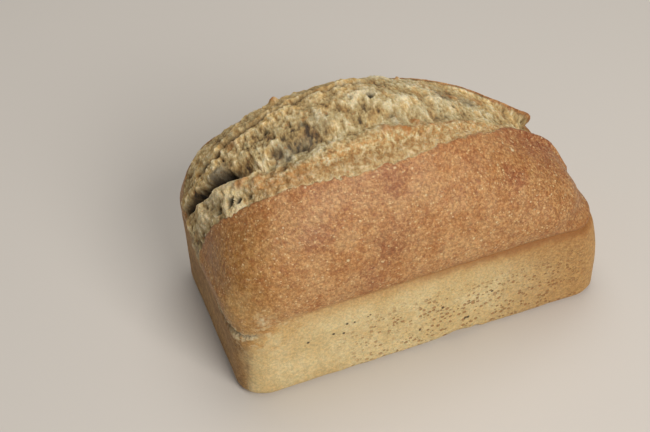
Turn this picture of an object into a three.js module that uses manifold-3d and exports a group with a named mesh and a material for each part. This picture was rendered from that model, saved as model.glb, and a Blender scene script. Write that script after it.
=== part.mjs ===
// A loaf of bread baked in a straight-sided tin, as one solid.
// Millimetres, +Z up, +X along the loaf. The origin is the middle of the bounding box, on the
// flat base. The tin shaped everything below the rim line. Above it the dough rose free: it
// bulges a little past the rim, arches to a domed top and tore open along one long split.

import * as THREE from 'three';
import { mergeVertices } from 'three/addons/utils/BufferGeometryUtils.js';
import Module from 'manifold-3d';

// Driving dimensions.
const LENGTH = 191; // from the bulge at the high end to the foot at the low end
const WIDTH = 104; // across the bulge, front to back
const HEIGHT = 120.5; // from the base to the top of the arch, without its torn edges
const RIM_HEIGHT = 50; // height of the tin, where the crease runs round the loaf
const BULGE_HEIGHT = 58.5; // where the free dough is widest
const FOOT_RADIUS = 4; // rounding between the wall and the flat base
const CREASE_DEPTH = 1.1; // how far the crease pinches in under the bulge
const CREASE_SPREAD = 2.6; // half height of the crease
const CROWN_SIDES = 2.25; // steepness of the dome's sides across the loaf: 2 is an ellipse
const CROWN_TOP = 1.76; // roundness of its top: 2 is an ellipse, and less is more pointed
const FLOOR_DEPTH = 5.5; // how far the floor of the split lies below the dome at the high end
const FLOOR_SPREAD = 8; // half width of that floor
const LIP_HEIGHT = 1.4; // how far the torn crust edges stand proud
const LIP_SPREAD = 4.5; // half width of such an edge
const COLUMNS = 44; // facets along the loaf
const ROWS = 32; // facets across the loaf
const BELOW_BASE = 3; // stock under the base, trimmed off to leave it flat

const HALF_LENGTH = LENGTH / 2;
const HALF_WIDTH = WIDTH / 2;

// Heights of the rings of corners up the wall, close together at the foot and at the crease.
const RING_HEIGHTS = [
  -BELOW_BASE, 0.4, 1.4, FOOT_RADIUS, 18, 34, 44, 47.5, RIM_HEIGHT, 52.5, 56, BULGE_HEIGHT,
];

// Plan outlines of the loaf: how far each reaches from the origin, and the radius of its corners
// at either end. The low end leans in towards the top, because the dough rose less there.
const foot = { left: 93.8, right: HALF_LENGTH, half: 50, leftCorner: 14, rightCorner: 14 };
const rim = { left: 94.6, right: 90.5, half: 50.8, leftCorner: 17, rightCorner: 20 };
const bulge = { left: HALF_LENGTH, right: 86, half: HALF_WIDTH, leftCorner: 23, rightCorner: 28 };

// The arch of the top above the bulge, from the high end to the low end.
const arch = new THREE.SplineCurve([
  new THREE.Vector2(-HALF_LENGTH, 0),
  new THREE.Vector2(-90.5, 21.5),
  new THREE.Vector2(-78, 40),
  new THREE.Vector2(-59, 53.5),
  new THREE.Vector2(-31, HEIGHT - BULGE_HEIGHT),
  new THREE.Vector2(-4, 60.5),
  new THREE.Vector2(23, 50),
  new THREE.Vector2(50, 34),
  new THREE.Vector2(70, 20.5),
  new THREE.Vector2(79, 12),
  new THREE.Vector2(83, 6),
  new THREE.Vector2(bulge.right, 0),
]);

// Three lines of the split, seen from above: its front crust edge, its floor and its rear edge.
const frontEdge = plan([
  [-96, -4], [-78, -21], [-38, -31], [-13, -32], [8, -28], [41, -17], [59, -9], [86, -10],
]);
const floorLine = plan([
  [-96, 21], [-90, 16], [-83.5, 8.5], [-75, 4], [-68, -6], [-60, -11.5], [8, -13], [41, -6],
  [62, 0], [86, 3],
]);
const rearEdge = plan([
  [-96, 28], [-84, 38], [-60, 41], [-10, 37], [22, 32], [44, 23], [60, 15], [72, 11], [86, 17],
]);

function plan(points) {
  return new THREE.SplineCurve(points.map(([x, y]) => new THREE.Vector2(x, y)));
}

// Height of a curve at a place along the loaf, found by halving the curve's parameter.
function heightAt(curve, x) {
  let low = 0;
  let high = 1;
  const point = new THREE.Vector2();
  for (let step = 0; step < 24; step += 1) {
    const middle = (low + high) / 2;
    curve.getPoint(middle, point);
    if (point.x < x) low = middle;
    else high = middle;
  }
  return point.y;
}

// Carries the square from -1 to 1 onto an outline: a runs along the loaf and b across it, and the
// outline narrows in a quarter circle over the last stretch before each end.
function onOutline(a, b, outline) {
  const halfLength = (outline.left + outline.right) / 2;
  const corner = a < 0 ? outline.leftCorner : outline.rightCorner;
  const alongCorner = Math.max(0, Math.abs(a) * halfLength - (halfLength - corner));
  const cut = corner - Math.sqrt(Math.max(0, corner ** 2 - alongCorner ** 2));
  const x = a * halfLength + (outline.right - outline.left) / 2;
  const y = b * (outline.half - cut);
  return [x, y];
}

function blend(from, to, share) {
  const mixed = {};
  for (const key of Object.keys(from)) mixed[key] = THREE.MathUtils.lerp(from[key], to[key], share);
  return mixed;
}

function bump(distance, spread) {
  return Math.exp(-((distance / spread) ** 2));
}

// Outline of the wall at a height: a rounded foot, the plain tin wall, the crease at the rim and
// the swelling of the free dough above it. The low end starts to lean in only near its top.
function wallOutline(height) {
  const climb = THREE.MathUtils.inverseLerp(FOOT_RADIUS, RIM_HEIGHT, height);
  const risen = THREE.MathUtils.clamp(climb, 0, 1);
  let outline = blend(foot, rim, risen);
  outline.right = THREE.MathUtils.lerp(foot.right, rim.right, risen ** 3);
  outline.rightCorner = THREE.MathUtils.lerp(foot.rightCorner, rim.rightCorner, risen ** 3);
  if (height > RIM_HEIGHT) {
    const rise = (height - RIM_HEIGHT) / (BULGE_HEIGHT - RIM_HEIGHT);
    outline = blend(rim, bulge, Math.sin((rise * Math.PI) / 2));
  }
  const drop = THREE.MathUtils.clamp(FOOT_RADIUS - height, 0, FOOT_RADIUS);
  const inset = FOOT_RADIUS - Math.sqrt(FOOT_RADIUS ** 2 - drop ** 2)
    + CREASE_DEPTH * bump(height - RIM_HEIGHT, CREASE_SPREAD);
  for (const key of ['left', 'right', 'half']) outline[key] -= inset;
  return outline;
}

// How much the split raises or lowers the dome: crust edges that stand proud and, between them,
// a floor that is deepest towards the high end. It fades out before both ends.
function splitRelief(x, y) {
  const open = 1 - THREE.MathUtils.smoothstep(Math.abs(x), 74, HALF_LENGTH - 4);
  const depth = FLOOR_DEPTH * THREE.MathUtils.mapLinear(x, -HALF_LENGTH, HALF_LENGTH, 1, 0.5);
  const frontLip = bump(y - heightAt(frontEdge, x), LIP_SPREAD);
  const rearLip = bump(y - heightAt(rearEdge, x), LIP_SPREAD);
  const floor = bump(y - heightAt(floorLine, x), FLOOR_SPREAD);
  return open * (LIP_HEIGHT * (frontLip + rearLip) - depth * floor);
}

function loafSurface() {
  const levels = RING_HEIGHTS.length - 1;
  const box = new THREE.BoxGeometry(2, 2, 2, COLUMNS, ROWS, levels);
  const place = box.attributes.position;
  const point = new THREE.Vector3();
  for (let i = 0; i < place.count; i += 1) {
    point.fromBufferAttribute(place, i);
    const a = Math.sin((point.x * Math.PI) / 2);
    const b = THREE.MathUtils.clamp(Math.sin((point.y * Math.PI) / 2), -1, 1);
    const level = Math.round(((point.z + 1) / 2) * levels);
    const [x, y] = onOutline(a, b, wallOutline(RING_HEIGHTS[level]));
    let z = RING_HEIGHTS[level];
    if (level === levels) {
      const crown = (1 - Math.abs(b) ** CROWN_SIDES) ** (1 / CROWN_TOP);
      const rise = Math.max(0, heightAt(arch, x)) * crown;
      z += rise + splitRelief(x, y) * THREE.MathUtils.smoothstep(rise, 4, 20);
    }
    place.setXYZ(i, x, y, z);
  }
  return box;
}

const wasm = await Module();
wasm.setup();

function toSolid(geometry) {
  const bare = geometry.clone();
  bare.deleteAttribute('normal');
  bare.deleteAttribute('uv');
  const merged = mergeVertices(bare, 1e-4);
  return new wasm.Manifold(new wasm.Mesh({
    numProp: 3,
    vertProperties: new Float32Array(merged.attributes.position.array),
    triVerts: new Uint32Array(merged.index.array),
  }));
}

function toGeometry(solid) {
  const { vertProperties, triVerts } = solid.getMesh();
  const geometry = new THREE.BufferGeometry();
  geometry.setAttribute('position', new THREE.BufferAttribute(vertProperties, 3));
  geometry.setIndex(new THREE.BufferAttribute(triVerts, 1));
  geometry.computeVertexNormals();
  return geometry;
}

// The loaf keeps only what lies above the base plane, which leaves the base flat.
const aboveBase = new THREE.BoxGeometry(2 * LENGTH, 2 * WIDTH, 2 * HEIGHT);
aboveBase.translate(0, 0, HEIGHT);
const solidLoaf = toSolid(loafSurface()).intersect(toSolid(aboveBase));

const crust = new THREE.MeshStandardMaterial({ color: 0xbe8a4e, roughness: 0.75, metalness: 0 });
const loaf = new THREE.Mesh(toGeometry(solidLoaf), crust);
loaf.name = 'loaf';

const group = new THREE.Group();
group.add(loaf);

export default group;
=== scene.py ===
import math

import bmesh
import bpy
import numpy as np
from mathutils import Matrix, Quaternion, Vector, noise


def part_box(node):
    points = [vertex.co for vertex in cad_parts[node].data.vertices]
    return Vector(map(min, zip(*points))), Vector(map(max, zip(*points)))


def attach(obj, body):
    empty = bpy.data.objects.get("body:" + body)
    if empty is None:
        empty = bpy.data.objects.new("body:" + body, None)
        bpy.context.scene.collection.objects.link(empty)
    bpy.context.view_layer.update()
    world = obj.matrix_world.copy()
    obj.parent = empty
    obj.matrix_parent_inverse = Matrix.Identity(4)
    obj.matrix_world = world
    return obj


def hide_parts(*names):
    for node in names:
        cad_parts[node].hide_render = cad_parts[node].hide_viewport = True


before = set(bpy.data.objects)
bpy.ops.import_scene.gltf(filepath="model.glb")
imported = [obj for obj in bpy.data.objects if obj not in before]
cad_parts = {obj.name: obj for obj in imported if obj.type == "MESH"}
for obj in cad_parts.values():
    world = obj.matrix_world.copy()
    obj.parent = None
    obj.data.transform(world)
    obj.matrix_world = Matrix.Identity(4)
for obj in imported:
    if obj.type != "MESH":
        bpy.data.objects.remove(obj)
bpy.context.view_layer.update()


# ---------------------------------------------------------------------------------------------
# Camera and table
# The loaf stands on a plain pale table. It is seen from above and in front, turned a little so
# that its high end shows too.
# ---------------------------------------------------------------------------------------------
mm = 0.001
look_down = math.radians(43.8)
turned = math.radians(19.57)
tilt = math.radians(2.27)
camera_distance = 588.3 * mm
aim_at = Vector((-29.3, 10.4, 45)) * mm

view_line = Vector((
    math.sin(turned) * math.cos(look_down),
    math.cos(turned) * math.cos(look_down),
    -math.sin(look_down),
))
bpy.ops.object.camera_add(location=aim_at - view_line * camera_distance)
camera = bpy.context.object
camera.name = "camera"
camera.data.sensor_width = 36
camera.data.lens = 66.5
camera.rotation_mode = "QUATERNION"
camera.rotation_quaternion = view_line.to_track_quat("-Z", "Y") @ Quaternion((0, 0, 1), -tilt)
bpy.context.scene.camera = camera
bpy.context.scene.view_settings.view_transform = "Standard"

bpy.ops.object.select_all(action="DESELECT")
bpy.ops.mesh.primitive_plane_add(size=6)
table = bpy.context.object
table.name = "table"
table_paint = bpy.data.materials.new("pale_table")
table_paint.use_nodes = True
table_surface = table_paint.node_tree.nodes["Principled BSDF"]
table_surface.inputs["Base Color"].default_value = (0.62, 0.58, 0.53, 1)
table_surface.inputs["Roughness"].default_value = 0.7
table.data.materials.append(table_paint)


# ---------------------------------------------------------------------------------------------
# The loaf
# One piece of wheat dough, baked in a straight-sided tin. The tin holds the walls flat and pale
# up to its rim. Above the rim the dough springs free, browns, and tears open along the top.
# ---------------------------------------------------------------------------------------------

# Sizes, in millimetres. The overall ones come from the frame. The high end is the one at low x.
low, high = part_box("loaf")
half_length = (high.x - low.x) / 2 / mm
half_width = (high.y - low.y) / 2 / mm
rim_height = 50  # the rim of the tin
bulge_height = 58.5  # where the dome is widest
foot_radius = 4
crown_sides = 2.25  # how full the dome is at its sides
crown_top = 1.76  # how flat it is along its top
relief_room = 0.3  # left under the top of the frame for the roughness of the crumb

# How far each plan outline reaches from the middle, and the radius of its corners at either end.
foot = {"left": 93.8, "right": half_length, "half": 50, "left_corner": 14, "right_corner": 14}
rim = {"left": 94.6, "right": 90.5, "half": 50.8, "left_corner": 17, "right_corner": 20}
bulge = {"left": half_length, "right": 86, "half": half_width, "left_corner": 23, "right_corner": 28}


def smooth_line(points):
    """A line through the points that bends evenly at each of them, as closely spaced x and y."""
    held = np.array([points[0], *points, points[-1]], float)
    share = np.linspace(0, 1, 40, endpoint=False)[:, None]
    spans = []
    for a, b, c, d in zip(held, held[1:], held[2:], held[3:]):
        spans.append(0.5 * (2 * b + (c - a) * share + (2 * a - 5 * b + 4 * c - d) * share**2
                            + (3 * b - a - 3 * c + d) * share**3))
    line = np.vstack([*spans, held[-1:]])
    return lambda x: np.interp(x, line[:, 0], line[:, 1])


# The arch of the top above the bulge, and the lines of the tear seen from above.
arch_rise = (high.z - low.z) / mm - bulge_height - relief_room
arch = smooth_line([
    (-half_length, 0), (-90.5, 21.5), (-78, 40), (-59, 53.5), (-31, arch_rise), (-4, 60.5),
    (23, 50), (50, 34), (70, 20.5), (79, 13), (83, 6.5), (bulge["right"], 0),
])
front_edge = smooth_line([
    (-96, -4), (-78, -21), (-38, -31), (-13, -32), (8, -28), (41, -17), (59, -9), (78, -9),
    (82, -12), (86, -15),
])
ridge_line = smooth_line([
    (-96, 11), (-91, 3), (-86, -2), (-79, -7), (-73, -13), (-67, -17), (-50, -21), (-20, -20.5),
    (13, -17.5), (31, -12), (62, -5), (86, -7),
])
floor_line = smooth_line([
    (-96, 24), (-93, 14.5), (-89, 8), (-84, 4), (-79, 1), (-74, -3), (-68, -8), (-60, -11.5),
    (8, -13), (41, -6), (62, 0), (86, 2),
])
layer_line = smooth_line([
    (-96, 26), (-88, 20), (-79, 16), (-74, 18.5), (-64, 16.5), (-20, 16.3), (8, 17.5),
])
rear_edge = smooth_line([
    (-96, 28), (-84, 38), (-60, 41), (-10, 37), (22, 32), (44, 23), (60, 15), (72, 11),
    (81, 13), (84, 19), (86, 25),
])


def lerp(a, b, share):
    """A value that share of the way from a to b."""
    return a + (b - a) * share


def smoothstep(low_edge, high_edge, value):
    """Rises gently from 0 at one edge to 1 at the other."""
    share = np.clip((value - low_edge) / (high_edge - low_edge), 0, 1)
    return share * share * (3 - 2 * share)


def bump(distance, spread):
    """A soft hump: 1 where the distance is 0, fading out over about twice the spread."""
    return np.exp(-((distance / spread) ** 2))


def mixed(a, b, share):
    """An outline between two others."""
    return {key: lerp(a[key], b[key], share) for key in a}


def half_across(outline, x):
    """Half the width of an outline at x, which narrows in a quarter circle at its corners."""
    corner = np.where(x < 0, outline["left_corner"], outline["right_corner"])
    straight = np.where(x < 0, outline["left"], outline["right"]) - corner
    along = np.clip(np.abs(x) - straight, 0, corner)
    return outline["half"] - corner + np.sqrt(corner**2 - along**2)


def dome_height(x, across):
    """Height of the dome at x, where across runs from -1 to 1 between its two sides."""
    return bulge_height + arch(x) * np.maximum(1 - np.abs(across) ** crown_sides, 0) ** (1 / crown_top)


# The dough: a sheet for the dome, its edge drawn down ring by ring to the foot, and a flat base. The
# rows of the sheet go to the front crust, the first tear, the last tear and the rear crust, and the
# rings are closest together at the rim and round the foot.
columns = 320
row_counts = (58, 28, 70, 40)
rows = sum(row_counts)
ring_heights = np.concatenate([
    np.linspace(57.6, 53.5, 4), np.linspace(52.6, 40, 15), np.linspace(36.7, 7, 9),
    [5, 3.4, 2, 0.9, 0.3, 0],
])

bpy.ops.object.select_all(action="DESELECT")
bpy.ops.mesh.primitive_grid_add(x_subdivisions=columns, y_subdivisions=rows, size=2)
loaf = bpy.context.object
loaf.name = "tin_loaf"
bpy.ops.object.mode_set(mode="EDIT")
bpy.ops.mesh.select_all(action="DESELECT")
bpy.ops.mesh.select_mode(type="EDGE")
sheet = bmesh.from_edit_mesh(loaf.data)
for edge in sheet.edges:
    edge.select = edge.is_boundary
bmesh.update_edit_mesh(loaf.data)
for ring in ring_heights:
    bpy.ops.mesh.extrude_region_move(TRANSFORM_OT_translate={"value": (0, 0, -1)})
bpy.ops.mesh.edge_face_add()
bpy.ops.mesh.select_all(action="SELECT")
bpy.ops.mesh.normals_make_consistent(inside=False)
bpy.ops.object.mode_set(mode="OBJECT")

grid = np.empty(len(loaf.data.vertices) * 3)
loaf.data.vertices.foreach_get("co", grid)
grid = grid.reshape(-1, 3)
column = np.rint((grid[:, 0] + 1) / 2 * columns).astype(int)
row = np.rint((grid[:, 1] + 1) / 2 * rows).astype(int)
ring = np.rint(-grid[:, 2]).astype(int)

# Columns stand at even steps along the arch.
steps_along = 2000
fine_x = lerp(-bulge["left"], bulge["right"], (1 - np.cos(np.linspace(0, math.pi, steps_along))) / 2)
walked = np.concatenate([[0], np.cumsum(np.hypot(np.diff(fine_x), np.diff(arch(fine_x))))])
column_x = np.interp(np.linspace(0, walked[-1], columns + 1), walked, fine_x)

# Rows stand at even steps across each stretch between the bulge and the lines of the tear, which
# keep a little away from the bulge.
steps_across = 400
tear_limit = 0.85
row_y = np.empty((columns + 1, rows + 1))
for i, x in enumerate(column_x):
    reach = half_across(bulge, x)
    fine_y = reach * np.sin(np.linspace(-1, 1, steps_across) * math.pi / 2)
    fine_z = dome_height(x, fine_y / reach)
    walked = np.concatenate([[0], np.cumsum(np.hypot(np.diff(fine_y), np.diff(fine_z)))])
    limit = tear_limit * reach
    lines = np.clip([front_edge(x), floor_line(x), rear_edge(x)], -limit, limit)
    stops = np.interp([-reach, *lines, reach], fine_y, walked)
    stretches = zip(stops, stops[1:], row_counts)
    steps = [np.linspace(start, end, count, endpoint=False) for start, end, count in stretches]
    row_y[i] = np.interp(np.concatenate([*steps, stops[-1:]]), walked, fine_y)
across = row_y / half_across(bulge, column_x)[:, None]

# Every point takes its place on the dome, then the rings are drawn in, each a hair inside its
# outline. The low end leans in towards the rim.
hair_inside = 0.999
place = np.empty_like(grid)
place[:, 0] = column_x[column]
place[:, 1] = row_y[column, row]
place[:, 2] = dome_height(column_x[column], across[column, row])
for number, height in enumerate(ring_heights, start=1):
    here = ring == number
    climb = np.clip((height - foot_radius) / (rim_height - foot_radius), 0, 1)
    outline = mixed(foot, rim, climb)
    for side in ("right", "right_corner"):
        outline[side] = lerp(foot[side], rim[side], climb**3)
    if height > rim_height:
        swell = math.sin((height - rim_height) / (bulge_height - rim_height) * math.pi / 2)
        outline = mixed(rim, bulge, swell)
    drop = max(foot_radius - height, 0)
    inset = foot_radius - math.sqrt(foot_radius**2 - drop**2) * hair_inside
    for side in ("left", "right", "half"):
        outline[side] -= inset
    along = (column_x[column[here]] + bulge["left"]) / (bulge["left"] + bulge["right"])
    x = lerp(-outline["left"], outline["right"], along)
    place[here, 0] = x
    place[here, 1] = across[column[here], row[here]] * half_across(outline, x)
    place[here, 2] = height


def lay(points):
    """Puts the points of the loaf at these places."""
    loaf.data.vertices.foreach_set("co", (points * mm).ravel())
    loaf.data.update()


def outward():
    """Which way each point of the loaf faces."""
    facing = np.empty(len(loaf.data.vertices) * 3)
    loaf.data.vertices.foreach_get("normal", facing)
    return facing.reshape(-1, 3)


lay(place)
facing = outward()
x, y, z = place.T


def rough(scale, octaves=1, shift=0.0, stretch=(1, 1, 1)):
    """Lumps of about the given size in millimetres, from about -1 to 1, at every point."""
    points = place / (np.array(stretch) * scale) + shift
    if octaves == 1:
        return np.array([noise.noise(point) for point in points])
    fading = 0.9
    finer = 2.1
    kind = "PERLIN_ORIGINAL"
    return np.array([noise.fractal(point, fading, finer, octaves, noise_basis=kind) for point in points])


# Where the crust tore: between the two ragged edges, over the top and down both ends to the bulge.
ragged = rough(5, 3, 11)
fray = rough(1.6, 2, 23)
behind_front = y - front_edge(x) + 1.1 * ragged + 0.55 * fray
before_rear = rear_edge(x) - y + 1.1 * ragged + 0.6 * fray
torn = smoothstep(-0.5, 0.7, behind_front) * smoothstep(-0.4, 0.6, before_rear)
torn_down_to = np.interp(x, [-96, 40, 88], [58, 58, 53])
torn *= smoothstep(0, 4, z - torn_down_to + 2 * ragged)

# The front strip of the tear opened first and has a thin baked skin: it rises in one long ridge.
# Behind it the last opening is bare torn crumb. It falls to a floor, climbs again, and ends at a
# crack, past which a thin layer of the older tear still lies over it.
behind_ridge = y - ridge_line(x) + 1.6 * ragged + 0.8 * fray
first_tear = torn * smoothstep(2.5, -0.5, behind_ridge) * smoothstep(-80, -71, x + 5 * ragged)
last_tear = torn - first_tear
past_crack = y - layer_line(x) + 1.2 * ragged + 0.5 * fray
layer = torn * smoothstep(-0.2, 0.9, past_crack) * smoothstep(6, -6, x)
valley_x = [-96, -90, -80, -74, -66, -40, 0, 30, 60, 72, 86]
valley_depth = np.interp(x, valley_x, [5, 8, 8, 5.5, 5, 4.5, 4, 2.4, 1.6, 2, 5])
valley_width = np.interp(x, [-96, -80, -73, -56, -20, 20, 70, 86], [2.6, 2.8, 5.5, 7, 8, 8, 7, 9])
valley = valley_depth * bump(y - floor_line(x) + 1.5 * ragged, valley_width)
ridge_rise = np.interp(x, [-90, -70, -45, 10, 40, 70], [0, 1.4, 2.2, 2.2, 1.6, 0.3])
ridge = ridge_rise * bump(y - ridge_line(x) + 0.8 * ragged, 4)
step_down = np.interp(x, [-96, -60, -10, 20, 50, 66, 78, 92], [0.7, 0.4, 0.6, 1.3, 1, 1.4, 3, 4])
groove_depth = np.interp(x, [-80, -60, -15, 5, 40], [0, 1.6, 1.6, 1.5, 0.3])
groove = groove_depth * bump(behind_front - 4.5 + ragged, 1.3)
crack_depth = np.interp(x, [-88, -80, -60, -35, -12, 2, 8], [0, 3, 3, 2.6, 2.2, 0.8, 0])
crack = crack_depth * bump(past_crack + 0.5, 0.8)
layer_rise = 0.9 * layer * bump(past_crack - 1.5, 5)
end_swell = 2 * bump(x + 96, 7) * smoothstep(-14, 0, y) * smoothstep(30, 16, y)

# The crust turns up at its torn edges, most at the low end, and falls away behind the rear one.
front_lip_rise = np.interp(x, [-96, 40, 62, 80], [0.5, 0.5, 1.2, 2])
free = smoothstep(rim_height, rim_height + 7, z)
front_lip = free * front_lip_rise * bump(y - front_edge(x) + 1.2, 2.4) * (1 - torn)
rear_lip_rise = np.interp(x, [-90, -80, 20, 50, 70, 81, 84], [0, 0.3, 0.3, 1.2, 2, 2.6, 0])
rear_lip = free * rear_lip_rise * bump(y - rear_edge(x) - 1.2, 2.2) * (1 - torn)
rear_fall_depth = np.interp(x, [30, 60, 80, 90], [0, 3, 6, 5])
rear_fall = free * rear_fall_depth * smoothstep(2, 18, y - rear_edge(x))

# Torn crumb: soft lumps, fibres drawn out across the tear, crumbs standing on end, and holes.
lumps = rough(11, 3, 31)
strands = rough(2, 3, 47, stretch=(1, 3, 3))
crumbs = rough(1.4, 2, 59)


def holes(size, share, shift):
    """Round holes about the given distance apart, of which only a share are open.

    Each hole draws two numbers from its own centre: whether it is open, and how wide it is.
    """
    narrowest = 0.12
    widening = 0.22
    aside = Vector((5, 5, 5))
    hollow = np.zeros(len(place))
    for index in np.flatnonzero(torn > 0.02):
        (near, *_), (centre, *_) = noise.voronoi(Vector(place[index] / size) + Vector((shift, 0, 0)))
        if noise.cell(centre * 3.1 + aside) < share:
            width = narrowest + widening * abs(noise.cell(centre * 7.3))
            hollow[index] = smoothstep(width, width * 0.2, near)
    return hollow


def spots(places):
    """Ragged round spots at the given x and y, each with its own radius and strength."""
    strength = np.zeros(len(place))
    for spot_x, spot_y, radius, full in places:
        away = np.hypot(x - spot_x, y - spot_y) / radius + 0.25 * fray
        strength = np.maximum(strength, full * smoothstep(1.15, 0.4, away) * (z > rim_height))
    return strength


# The holes that opened widest, and the tips of crust that were left standing in the tear.
gaping = torn * spots([
    (-81.5, -13, 2, 3.5), (-79, -15.5, 1.4, 2.5), (-87, -8.5, 1.6, 2), (-80.5, 3, 2.6, 3.5),
    (-87.5, 8, 2.2, 3), (-91.5, 13, 2, 2.5), (-84, 18, 2, 2), (-78.5, 16, 1.8, 2.4),
    (-59, -7, 3, 1.2), (-55, -13, 1.9, 1.4), (-51, -11, 2, 1.2), (-46.5, -12, 2.2, 1.5),
    (-43, -1, 1.7, 1.8), (-58, 6, 1.7, 1.4), (-31.5, -2, 1, 1.4), (-8, 3, 2, 4), (-9, 8, 1.6, 1),
    (31, 9.5, 2.8, 2.4), (45, 8, 2.2, 3), (-69, 15, 2, 1.5),
])
tips = spots([
    (8, -13.5, 2.2, 2.4), (-9, -17.5, 2.2, 1), (0, -19.5, 2.5, 0.8), (14, 24, 1.3, 1.2),
    (-75, -9.5, 3, 1.2), (-69, -14, 3, 1),
])

# One round nub of crust stands on the rear edge.
nub_x = -46
nub_y = 27.5
nub_radius = 2.4
nub_height = 2.3
nub_share = np.maximum(1 - ((x - nub_x) ** 2 + (y - nub_y) ** 2) / nub_radius**2, 0)
nub = nub_height * np.sqrt(nub_share) * (z > rim_height)

# The crumb is liveliest where it tore last, and towards the high end.
wide_holes = holes(6, 0.35, 0)
fine_holes = holes(2.6, 0.45, 40)
bare = 0.35 + 0.65 * last_tear / np.maximum(torn, 1e-3)
lively = bare * np.interp(x, [-96, -60, -30, 0, 40, 80], [1.5, 1.4, 1.15, 0.95, 0.85, 0.85])
lively *= 1 - 0.3 * layer
crumb_relief = lively * (1.5 * lumps + 0.55 * strands - 1.3 * wide_holes - 0.7 * fine_holes)
crumb_relief += 0.45 * crumbs + first_tear * 1.3 * rough(4, 3, 131)

rise = torn * (ridge - valley - step_down - groove - crack + layer_rise + end_swell + crumb_relief)
rise += front_lip + rear_lip - rear_fall - gaping + tips + nub

# The skin of the dome is only a little uneven.
crusted = (1 - torn) * smoothstep(rim_height - 1, rim_height + 4, z)
rise += crusted * (0.45 * rough(17, 2, 71) + 0.16 * rough(3.2, 2, 83))

# The tin wall: nearly flat, and pinched in at the crease where the dough rose over the rim, most
# towards the low end. The crease sags at the ends, and climbs into a shoulder across the high end.
# The foot is uneven, with one hollow at the front.
shoulder_y = [-48, -42, -34, -25, -16, -10, -5, 3, 12, 30]
shoulder_z = np.interp(y, shoulder_y, [42, 42.5, 43.5, 44, 46, 51, 58, 62, 55, 51])
on_end = smoothstep(-90, -94, x)
high_end_sag = 8 * smoothstep(-68, -92, x) * smoothstep(5, -5, y)
low_end_sag = 3.5 * smoothstep(60, 86, x) * smoothstep(30, -20, y)
crease_z = rim_height - high_end_sag - low_end_sag
crease_z = lerp(crease_z, shoulder_z, on_end)
above_crease = z - crease_z
against_tin = smoothstep(1, -3, above_crease)
wall_sway = 0.35 * rough(26, 2, 97)
wall_grain = 0.06 * rough(4, 2, 103)
rise += against_tin * smoothstep(0, 4, z) * (wall_sway + wall_grain)
pinch = np.interp(x, [-95, -60, -10, 40, 85, 95], [0.2, 0.4, 1.2, 2.4, 2.6, 1.2])
pinch *= np.where(y < 20, 1, 0.8)
rise -= pinch * bump(above_crease - 0.5 * rough(24, 1, 107), 1.8)
rise += 0.35 * smoothstep(7, 0, z) * rough(9, 2, 113)
hollow_depth = 2.6 * bump(x - 15, 6) + bump(x - 26, 2)
rise -= hollow_depth * smoothstep(5, 1, z) * (y < 0)

# At the high end the crust also split from the wall along this line, and gapes near the front
# corner. Behind it the shoulder swells out.
split_y = [-50, -44, -38, -32, -26, -20, -14, 3]
split_width = np.interp(y, split_y, [0.8, 1.6, 3, 4.2, 4.2, 3, 1.6, 3])
split_away = np.abs(above_crease + 0.8 * ragged + 0.5 * fray) / split_width
at_high_end = smoothstep(-82, -87, x) * smoothstep(8, 4, y)
split = at_high_end * smoothstep(1.1, 0.75, split_away) * (1 - torn)
split_depth = np.interp(y, split_y, [0.3, 1, 2.4, 3.2, 3, 2, 0.6, 0.5])
split_lip = at_high_end * bump(split_away - 1.2, 0.3) * (1 - torn)
rise += 0.35 * split_lip - split * (split_depth + 0.4 * crumbs)
shoulder_swell = 2 * bump(x + 97, 8) * bump(z - 55, 7)
rise += shoulder_swell * smoothstep(22, 8, y) * smoothstep(-54, -42, y)

place = place + facing * rise[:, None]
on_base = ring == len(ring_heights)
place[on_base, 2] = 0
place[:, 2] = np.maximum(place[:, 2], 0)
lay(place)


def remember(name, values):
    """Keeps a value for each point of the loaf, for its material to read."""
    kept = loaf.data.attributes.new(name, "FLOAT", "POINT")
    kept.data.foreach_set("value", np.clip(values, 0, 1))


def around(centre, radius):
    """A soft ragged patch about a point of the loaf."""
    away = np.sqrt(((place - np.array(centre)) ** 2).sum(1)) / radius
    return smoothstep(1.3, 0.3, away + 0.5 * ragged)


# Where the heat reached furthest: toasted tips and ridge in the tear, and dark patches on the crust.
toast = spots([
    (8, -13.5, 2.6, 1), (-9, -17.5, 3, 0.7), (0, -19.5, 3, 0.8), (nub_x, nub_y, 2.3, 1),
    (14, 24, 1.6, 0.8), (-75, -9.5, 3.4, 0.8), (-69, -14, 3.4, 0.7), (-71, 14, 4, 0.5),
    (-64, -19, 6, 0.35), (-54, -24, 6, 0.3), (38, 12, 4, 0.5), (52, 13, 4, 0.5), (64, 9, 3, 0.5),
    (26, 18, 4, 0.4),
])
toasted_stretch = smoothstep(-20, -6, x) * smoothstep(46, 30, x)
toast += 0.8 * bump(y - ridge_line(x) - 1, 1.3) * toasted_stretch * (0.5 + fray)
scorched = sum(full * around(centre, radius) for centre, radius, full in (
    ((68, -14, 82), 22, 0.85), ((46, -37, 84), 8, 0.9), ((-14, -36, 102), 8, 0.7),
    ((-17, -48, 80), 10, 0.5), ((-52, -44, 88), 8, 0.7), ((74, -14, 76), 9, 0.8),
    ((-22, -50, 72), 8, 0.5), ((-30, -52, 62), 9, 0.6), ((28, -32, 95), 7, 0.5),
    ((40, 38, 80), 12, 0.5), ((-40, 45, 88), 12, 0.5), ((88, 10, 64), 9, 0.5)))

# Crumb grey brown low in the tear and by the widest holes, partly its own tone and partly painted
# shade in these hollows, and flour caught on the corner and along the lip of the split.
greyed_in_shade = torn * spots([
    (-56, -10, 7, 0.6), (-46, -11, 6, 0.55), (-37, -5, 7, 0.3), (-8, 5, 4, 0.2), (20, -9, 12, 0.15),
    (31, 9, 6, 0.6), (44, 8, 6, 0.5), (-90, -2, 8, 0.3), (0, -12, 6, 0.3), (-82, 6, 5, 0.9),
])
floury = around((-82, -50, 54), 4) * (0.5 + 1.2 * fray) + 1.3 * split_lip * (0.7 + 0.9 * fray)

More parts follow.
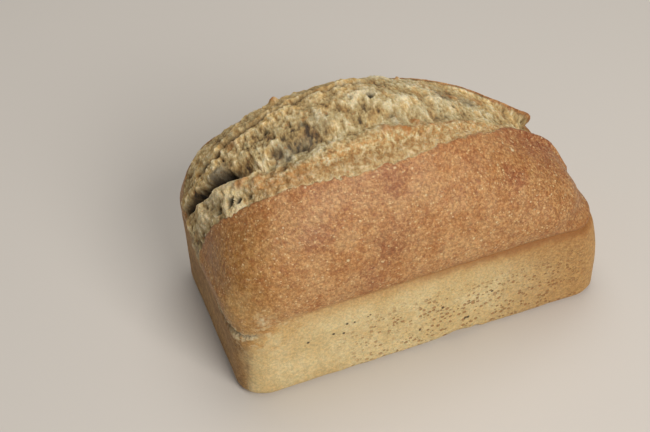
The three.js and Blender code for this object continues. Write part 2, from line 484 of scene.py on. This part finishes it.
# Crust beside the tear and towards either end of the loaf, and crumb that the heat gilded.
near_tear = crusted * np.exp(-np.maximum(-behind_front, 0) / 9) * (y < 0)
bare_end = smoothstep(-55, -88, x + 3 * ragged)
low_end = smoothstep(15, 80, x + 6 * ragged)
golden = np.clip(layer + bump(past_crack + 5, 6) * smoothstep(0, -25, x), 0, 1)
golden = np.maximum(golden, 0.75 * smoothstep(-60, -76, x))
golden = np.maximum(golden, bump(rear_edge(x) - y - 2, 6) * smoothstep(10, 40, x)) * last_tear

# How light the crumb is: painted shade darkens it low in the tear and in its holes, it is pale on the
# lumps and fibres, partly its own tone and partly painted light, and pale again in front of the crack
# at the high end.
relief_light_and_shade = 0.7 * strands + 1.1 * lumps + 0.7 * crumbs - 0.5 * wide_holes - 0.4 * fine_holes
shade_depth = valley + 0.6 * crack
before_crack = smoothstep(2, -6, y - floor_line(x)) * smoothstep(-70, -80, x)
before_crack *= smoothstep(-94, -85, x)
remember("tone_and_shade", 0.60 + 0.38 * lively * relief_light_and_shade - 0.04 * shade_depth + 0.28 * before_crack)

remember("torn", torn)
remember("first_tear", first_tear)
remember("greyed_in_shade", greyed_in_shade)
remember("golden", golden * (0.75 + 1.2 * lumps))
# Painted shade in the groove behind the new edge, by its depth.
remember("groove", torn * groove / 1.8)
remember("new_edge", first_tear * smoothstep(5.5, 1, behind_front + 2 * ragged))
remember("ridge_top", first_tear * bump(y - ridge_line(x) + 2 + 2 * ragged, 3.2))
# Painted shade: near black in the widest holes and down the deep crack at the high end.
deep_crack_shade = torn * smoothstep(-71, -80, x) * bump(y - floor_line(x) + 1.5 * ragged - 1, 3)
open_hole_shade = np.maximum(last_tear * (wide_holes + 0.6 * fine_holes) * 0.6, gaping / 2.5)
remember("hole_shade", np.maximum(open_hole_shade, deep_crack_shade))
# Painted shade along the crack behind the older layer, by its depth.
remember("crack", torn * bump(past_crack + 0.5, 0.9) * np.minimum(crack_depth / 2, 1))
remember("split", split)
remember("toast", toast)
remember("scorched", scorched)
remember("floury", floury)
remember("near_tear", near_tear)
remember("bare_end", bare_end)
remember("crinkled", bare_end * bump(above_crease + 1, 8) * (x > -94))
remember("low_end", low_end)

# The wall stays pale up to the crease, and higher and less evenly towards the high end. Its front is
# porous low down in the middle, and its back a little all over.
frayed_crease = above_crease + (0.8 + 2 * bare_end) * ragged
walled = smoothstep(2.2 + 7 * bare_end, -1.2 - 4 * bare_end, frayed_crease)
remember("walled", np.maximum(walled, 0.5 * around((-89, -45, 56), 13)))
# Painted shadow along the crease under the overhang of the dome, strongest where the wall is pinched in
# most.
remember("crease", bump(above_crease - 0.3 + 0.8 * ragged, 3.2) * pinch / 2)
remember("above_foot", z / 60)
# The high end wall: baked brown, and darkened further with painted shade where it faces away from the
# light.
remember("brown_shaded_end", smoothstep(-86, -93, x + 2 * ragged) * smoothstep(2, -3, above_crease))
porous = smoothstep(-60, -15, x) * smoothstep(93, 72, x) * smoothstep(42, 26, z + 4 * ragged)
remember("porous", porous + 0.35 * (y > 0))

# Bread: one material, pale and dull where the tin was, browned and faintly glossy on the dome, and
# cream with toasted tips where it tore.
bread = bpy.data.materials.new("bread")
bread.use_nodes = True
nodes = bread.node_tree.nodes
links = bread.node_tree.links
surface = nodes["Principled BSDF"]


def wire(value, socket):
    """Links a node's output to a socket, or sets the socket to a plain value."""
    if isinstance(value, bpy.types.NodeSocket):
        links.new(value, socket)
    else:
        socket.default_value = value


def attribute(name):
    """One of the values kept on the points of the loaf."""
    node = nodes.new("ShaderNodeAttribute")
    node.attribute_name = name
    return node.outputs["Fac"]


def math_node(operation, a, b=0.0, clamp=False):
    """A sum, a product or a comparison of two values."""
    node = nodes.new("ShaderNodeMath")
    node.operation = operation
    node.use_clamp = clamp
    wire(a, node.inputs[0])
    wire(b, node.inputs[1])
    return node.outputs[0]


def times(a, b):
    """Two masks laid over each other."""
    return math_node("MULTIPLY", a, b)


def mix(factor, a, b, blend="MIX"):
    """One colour worked into another."""
    node = nodes.new("ShaderNodeMix")
    node.data_type = "RGBA"
    node.blend_type = blend
    node.clamp_factor = True
    wire(factor, node.inputs["Factor"])
    wire(a, node.inputs["A"])
    wire(b, node.inputs["B"])
    return node.outputs["Result"]


def ramp(value, start, end, to_min=0.0, to_max=1.0):
    """A gentle rise between two values."""
    node = nodes.new("ShaderNodeMapRange")
    node.interpolation_type = "SMOOTHSTEP"
    wire(value, node.inputs["Value"])
    node.inputs["From Min"].default_value = start
    node.inputs["From Max"].default_value = end
    node.inputs["To Min"].default_value = to_min
    node.inputs["To Max"].default_value = to_max
    return node.outputs["Result"]


def shades(value, stops):
    """Runs through colours, each at its place from 0 to 1."""
    node = nodes.new("ShaderNodeValToRGB")
    wire(value, node.inputs["Fac"])
    row = node.color_ramp.elements
    for number, (place_in_row, shade) in enumerate(stops):
        stop = row[number] if number < 2 else row.new(place_in_row)
        stop.position = place_in_row
        stop.color = (*shade, 1)
    return node.outputs["Color"]


where = nodes.new("ShaderNodeTexCoord").outputs["Object"]


def speckle(size, detail=2.0, roughness=0.5, stretch=(1, 1, 1)):
    """Soft noise with features of about the given size in millimetres."""
    spread = nodes.new("ShaderNodeMapping")
    wire(where, spread.inputs["Vector"])
    spread.inputs["Scale"].default_value = [1 / (size * mm * s) for s in stretch]
    node = nodes.new("ShaderNodeTexNoise")
    node.inputs["Scale"].default_value = 1
    node.inputs["Detail"].default_value = detail
    node.inputs["Roughness"].default_value = roughness
    wire(spread.outputs[0], node.inputs["Vector"])
    return node.outputs["Fac"]


def dots(size, low_size, high_size, share, edge_width=0.12, stretch=(1, 1, 1)):
    """Round dots about the given distance apart; a share of them show, each of its own width."""
    spread = nodes.new("ShaderNodeMapping")
    wire(where, spread.inputs["Vector"])
    spread.inputs["Scale"].default_value = [1 / (size * mm * s) for s in stretch]
    node = nodes.new("ShaderNodeTexVoronoi")
    node.inputs["Scale"].default_value = 1
    wire(spread.outputs[0], node.inputs["Vector"])
    parts = nodes.new("ShaderNodeSeparateColor")
    wire(node.outputs["Color"], parts.inputs["Color"])
    width = ramp(parts.outputs[0], 0, 1, low_size, high_size)
    inside = math_node("SUBTRACT", width, node.outputs["Distance"])
    edge = ramp(inside, 0, edge_width)
    shown = math_node("LESS_THAN", parts.outputs[1], share)
    return times(edge, shown)


# Tin wall: pale gold, warmer at the low end and just under the dome, brown and darkened with painted
# shade at the high end, which faces away from the light, with pores where it rested against the tin.
pale_gold = (0.69, 0.56, 0.30, 1)
straw_gold = (0.61, 0.46, 0.22, 1)
warm_tan = (0.42, 0.23, 0.08, 1)
orange_tan = (0.50, 0.26, 0.07, 1)
rim_tan = (0.54, 0.32, 0.11, 1)
rim_brown = (0.38, 0.18, 0.055, 1)
shaded_end_dark = (0.20, 0.08, 0.014, 1)
shaded_end_light = (0.32, 0.155, 0.042, 1)
mottle_tan = (0.58, 0.36, 0.13, 1)
pore_brown = (0.30, 0.13, 0.04, 1)
pinhole_shadow_black = (0.045, 0.03, 0.015, 1)
wall_tone = mix(ramp(speckle(20, 3), 0.38, 0.62), pale_gold, straw_gold)
wall_tone = mix(attribute("low_end"), wall_tone, warm_tan)
tan_band = times(attribute("bare_end"), ramp(speckle(7, 3), 0.42, 0.6))
upper_wall = ramp(attribute("above_foot"), 0.45, 0.66)
wall_tone = mix(times(times(tan_band, upper_wall), 0.9), wall_tone, orange_tan)
wall_tone = mix(ramp(attribute("above_foot"), 0.62, 0.84, 0, 0.6), wall_tone, rim_tan)
low_end_top = times(attribute("low_end"), ramp(attribute("above_foot"), 0.5, 0.78))
wall_tone = mix(times(low_end_top, 0.75), wall_tone, rim_brown)
# Baked brown with painted shade: a dark mottled brown over the end that faces away from the light.
high_end_brown_and_shade = mix(ramp(speckle(9, 4, 0.6), 0.38, 0.64), shaded_end_dark, shaded_end_light)
wall_tone = mix(times(attribute("brown_shaded_end"), 0.9), wall_tone, high_end_brown_and_shade)
wall_mottle = ramp(speckle(2.6, 2, 0.6), 0.35, 0.65)
wall_tone = mix(times(wall_mottle, 0.3), wall_tone, mottle_tan)
fine_grain = ramp(speckle(1.3, 3, 0.75), 0.3, 0.7, 0.66, 1.3)
wall_colour = mix(0.65, wall_tone, fine_grain, "MULTIPLY")
pore_patches = times(attribute("porous"), ramp(speckle(14, 1), 0.26, 0.44))
pores = times(dots(2, 0.12, 0.5, 0.9, 0.1, (1.15, 1, 1)), pore_patches)
wall_colour = mix(times(pores, 0.72), wall_colour, pore_brown)
pores = times(pores, attribute("walled"))

# A few pinholes went right through the wall's skin, at these x and z, each with its own radius. They
# are painted as near black dots for the shade inside them.
front_wall = -50.4
pinhole_shade = 0.0
for hole_x, hole_z, radius in (
        (-61.5, 30.5, 0.7), (-49, 31, 0.7), (-44, 29.5, 0.7), (-42.3, 35.3, 0.7),
        (-38.6, 34.9, 0.55), (-32, 36, 0.5), (-30.8, 36.8, 0.6), (20.5, 12.3, 0.9), (19, 12.3, 0.7),
        (-5, 14, 0.6), (6.5, 25, 0.6), (32.5, 26, 0.6)):
    apart = nodes.new("ShaderNodeVectorMath")
    apart.operation = "DISTANCE"
    wire(where, apart.inputs[0])
    apart.inputs[1].default_value = (hole_x * mm, front_wall * mm, hole_z * mm)
    reach = (radius + 0.25) * mm
    pinhole_shade = math_node("ADD", pinhole_shade, ramp(apart.outputs["Value"], reach, reach * 0.5), clamp=True)
# Painted shade: the pinholes as near black dots.
wall_colour = mix(times(pinhole_shade, 0.92), wall_colour, pinhole_shadow_black)

# Dome crust: orange brown, mottled, and sown with pale blisters and flecks of flour.
high_end_crust = (0.33, 0.145, 0.024, 1)
low_end_crust = (0.30, 0.12, 0.03, 1)
tear_side_brown = (0.34, 0.12, 0.042, 1)
scorched_brown = (0.25, 0.07, 0.022, 1)
freckle_light = (0.62, 0.39, 0.17, 1)
freckle_dark = (0.28, 0.085, 0.024, 1)
blister_cream = (0.80, 0.58, 0.30, 1)
flour_cream = (0.8, 0.64, 0.38, 1)
flour_white = (0.82, 0.68, 0.40, 1)
speck_brown = (0.2, 0.06, 0.015, 1)
crust_tone = shades(speckle(11, 3, 0.6), [
    (0.0, (0.30, 0.10, 0.025)), (1.0, (0.54, 0.33, 0.14)),
    (0.38, (0.40, 0.175, 0.052)), (0.58, (0.475, 0.255, 0.10)),
])
crust_tone = mix(times(attribute("bare_end"), 0.8), crust_tone, high_end_crust)
crust_tone = mix(times(attribute("low_end"), 0.8), crust_tone, low_end_crust)
crust_tone = mix(times(attribute("near_tear"), 0.5), crust_tone, tear_side_brown)
crust_tone = mix(times(attribute("scorched"), 0.8), crust_tone, scorched_brown)
crust_tone = mix(ramp(speckle(2.6, 4, 0.75), 0.4, 0.66, 0, 0.38), crust_tone, freckle_light)
crust_tone = mix(ramp(speckle(3.2, 4, 0.75), 0.47, 0.68, 0, 0.5), crust_tone, freckle_dark)
crust_colour = mix(0.85, crust_tone, fine_grain, "MULTIPLY")
blister_strength = ramp(speckle(2.6, 2), 0.4, 0.6, 0.1, 1)
blisters = times(dots(1.25, 0.05, 0.5, 0.55, 0.2, (1, 0.8, 0.8)), blister_strength)
crust_colour = mix(times(blisters, 0.7), crust_colour, blister_cream)
fleck_strength = ramp(speckle(1.5, 1), 0.35, 0.6, 0.3, 1)
flecks = times(dots(4, 0.05, 0.22, 0.7, 0.1, (1, 1, 0.7)), fleck_strength)
crust_colour = mix(times(flecks, 0.6), crust_colour, flour_cream)
spot_strength = ramp(speckle(1.5, 1), 0.3, 0.5, 0.4, 1)
flour_spots = times(dots(13, 0.03, 0.1, 0.6, 0.04, (1, 1, 0.8)), spot_strength)
crust_colour = mix(times(flour_spots, 0.65), crust_colour, flour_white)
dark_specks = times(dots(2.1, 0.08, 0.34, 0.4), 0.5)
crust_colour = mix(dark_specks, crust_colour, speck_brown)

# Torn crumb: painted shade, near black in the deepest holes and grey brown in the hollows; cream on
# the fibres and golden where the heat reached their tips. The skin of the first tear runs from toffee
# to cream.
shade_grey = (0.16, 0.135, 0.095, 1)
toffee = (0.46, 0.28, 0.12, 1)
groove_shade_brown = (0.34, 0.18, 0.065, 1)
crisp_gold = (0.56, 0.29, 0.095, 1)
crisp_brown = (0.42, 0.17, 0.05, 1)
toast_brown = (0.44, 0.17, 0.04, 1)
hole_shadow_black = (0.03, 0.023, 0.016, 1)
crack_shadow_brown = (0.11, 0.065, 0.03, 1)
fibres = speckle(1.4, 3, 0.65, (1, 2.4, 2.4))
# The crumb's tone with painted shade in its hollows and painted light on its lumps, plus the fibres.
tone_and_shade = math_node("ADD", attribute("tone_and_shade"), ramp(fibres, 0.3, 0.7, -0.15, 0.15))
bare_crumb = shades(tone_and_shade, [
    (0.0, (0.06, 0.04, 0.022)), (1.0, (0.80, 0.69, 0.45)), (0.18, (0.22, 0.145, 0.06)),
    (0.36, (0.38, 0.265, 0.112)), (0.56, (0.50, 0.39, 0.195)), (0.76, (0.64, 0.535, 0.32)),
])
golden_crumb = shades(tone_and_shade, [
    (0.0, (0.06, 0.03, 0.012)), (1.0, (0.80, 0.62, 0.33)), (0.25, (0.22, 0.115, 0.038)),
    (0.5, (0.45, 0.265, 0.088)), (0.75, (0.65, 0.44, 0.175)),
])
gold = math_node("MAXIMUM", attribute("golden"), ramp(speckle(7, 3), 0.5, 0.64, 0, 0.75))
gold = times(gold, ramp(speckle(3, 2), 0.3, 0.6, 0.4, 1))
bare_crumb = mix(gold, bare_crumb, golden_crumb)
# Grey brown low in the tear, partly the crumb's own tone and partly painted shade in its hollows.
bare_crumb = mix(times(attribute("greyed_in_shade"), 0.8), bare_crumb, shade_grey)
skin_patches = ramp(speckle(3, 4, 0.7), 0.32, 0.68, 0.1, 0.95)
skin_level = math_node("ADD", skin_patches, ramp(fibres, 0.3, 0.7, -0.16, 0.16))
skin = shades(skin_level, [
    (0.0, (0.25, 0.12, 0.04)), (1.0, (0.80, 0.69, 0.46)), (0.28, (0.39, 0.235, 0.09)),
    (0.52, (0.52, 0.38, 0.175)), (0.76, (0.66, 0.53, 0.29)),
])
skin = mix(times(attribute("new_edge"), 0.5), skin, toffee)
# Painted shade in the groove.
skin = mix(times(attribute("groove"), 0.6), skin, groove_shade_brown)
ridge_gold = times(attribute("ridge_top"), ramp(speckle(1.8, 2, 0.6), 0.44, 0.58))
skin = mix(times(ridge_gold, 0.6), skin, crisp_gold)
crumb_colour = mix(attribute("first_tear"), bare_crumb, skin)
crumb_colour = mix(0.5, crumb_colour, fine_grain, "MULTIPLY")
crisp_specks = times(dots(1.8, 0.08, 0.4, 0.45), ramp(speckle(9, 2), 0.4, 0.58))
crumb_colour = mix(times(crisp_specks, 0.5), crumb_colour, crisp_brown)
crumb_colour = mix(times(attribute("toast"), 0.8), crumb_colour, toast_brown)
# Painted shade, near black, in the holes and the deep crack.
crumb_colour = mix(times(attribute("hole_shade"), 0.96), crumb_colour, hole_shadow_black)
# Painted shade down the crack.
crumb_colour = mix(times(attribute("crack"), 0.8), crumb_colour, crack_shadow_brown)

# All of it together, with a painted shadow in the crease under the dome's overhang, bare crumb in the
# split and flour on its crinkles.
crease_shadow_brown = (0.30, 0.12, 0.028, 1)
split_crumb = (0.36, 0.28, 0.17, 1)
crinkle_cream = (0.76, 0.62, 0.36, 1)
dusty_cream = (0.72, 0.6, 0.36, 1)
colour = mix(attribute("walled"), crust_colour, wall_colour)
# Painted shadow in the crease.
colour = mix(times(attribute("crease"), 0.9), colour, crease_shadow_brown)
torn_mask = ramp(attribute("torn"), 0.12, 0.55)
colour = mix(torn_mask, colour, crumb_colour)
split_colour = mix(1.0, split_crumb, fine_grain, "MULTIPLY")
colour = mix(attribute("split"), colour, split_colour)
crinkles = times(attribute("crinkled"), ramp(speckle(2.4, 3, 0.65, (1.6, 1, 1)), 0.53, 0.62))
colour = mix(times(crinkles, 0.6), colour, crinkle_cream)
colour = mix(times(attribute("floury"), 0.8), colour, dusty_cream)
wire(colour, surface.inputs["Base Color"])

# The browned crust is the least dull, the torn crumb the dullest. A little light passes into them.
crust_dullness = (0.48, 0.48, 0.48, 1)
wall_dullness = (0.7, 0.7, 0.7, 1)
crumb_dullness = (0.85, 0.85, 0.85, 1)
dullness = mix(attribute("walled"), crust_dullness, wall_dullness)
dullness = mix(torn_mask, dullness, crumb_dullness)
wire(dullness, surface.inputs["Roughness"])
surface.inputs["Specular IOR Level"].default_value = 0.4
surface.inputs["Subsurface Weight"].default_value = 0.2
surface.inputs["Subsurface Radius"].default_value = (1, 0.55, 0.3)
surface.inputs["Subsurface Scale"].default_value = 1.5 * mm

# Fine relief: an even grain, raised blisters, sunken pores, and fibres in the crumb.
height = times(speckle(1.0, 2, 0.7), 0.35)
height = math_node("ADD", height, times(blisters, 0.12))
height = math_node("SUBTRACT", height, times(pores, 0.6))
height = math_node("ADD", height, times(times(fibres, torn_mask), 1.1))
relief = nodes.new("ShaderNodeBump")
relief.inputs["Strength"].default_value = 1
relief.inputs["Distance"].default_value = mm
wire(height, relief.inputs["Height"])
wire(relief.outputs["Normal"], surface.inputs["Normal"])

loaf.data.materials.append(bread)
bpy.ops.object.select_all(action="DESELECT")
loaf.select_set(True)
bpy.context.view_layer.objects.active = loaf
bpy.ops.object.shade_smooth()
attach(loaf, "root")
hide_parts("loaf")


# ---------------------------------------------------------------------------------------------
# Light
# Soft daylight from a large window in front and to the right, under a pale ceiling, with a little
# light from all round.
# ---------------------------------------------------------------------------------------------
middle = Vector((0, 0, 0.06))
sky = bpy.data.worlds.new("soft_daylight")
bpy.context.scene.world = sky
sky.use_nodes = True
all_round = sky.node_tree.nodes["Background"]
all_round.inputs["Color"].default_value = (1, 0.98, 0.96, 1)
all_round.inputs["Strength"].default_value = 0.22


def window(name, place, size, power, tint):
    """A square light turned towards the middle of the loaf."""
    bpy.ops.object.light_add(type="AREA", location=place)
    light = bpy.context.object
    light.name = name
    light.data.size = size
    light.data.energy = power
    light.data.color = tint
    light.rotation_mode = "QUATERNION"
    light.rotation_quaternion = (middle - Vector(place)).to_track_quat("-Z", "Y")


window("window", (0.25, -1.1, 0.95), 0.7, 15.2, (1, 0.97, 0.93))
window("ceiling", (0.1, 0.3, 1.4), 1.0, 8, (1, 0.98, 0.95))
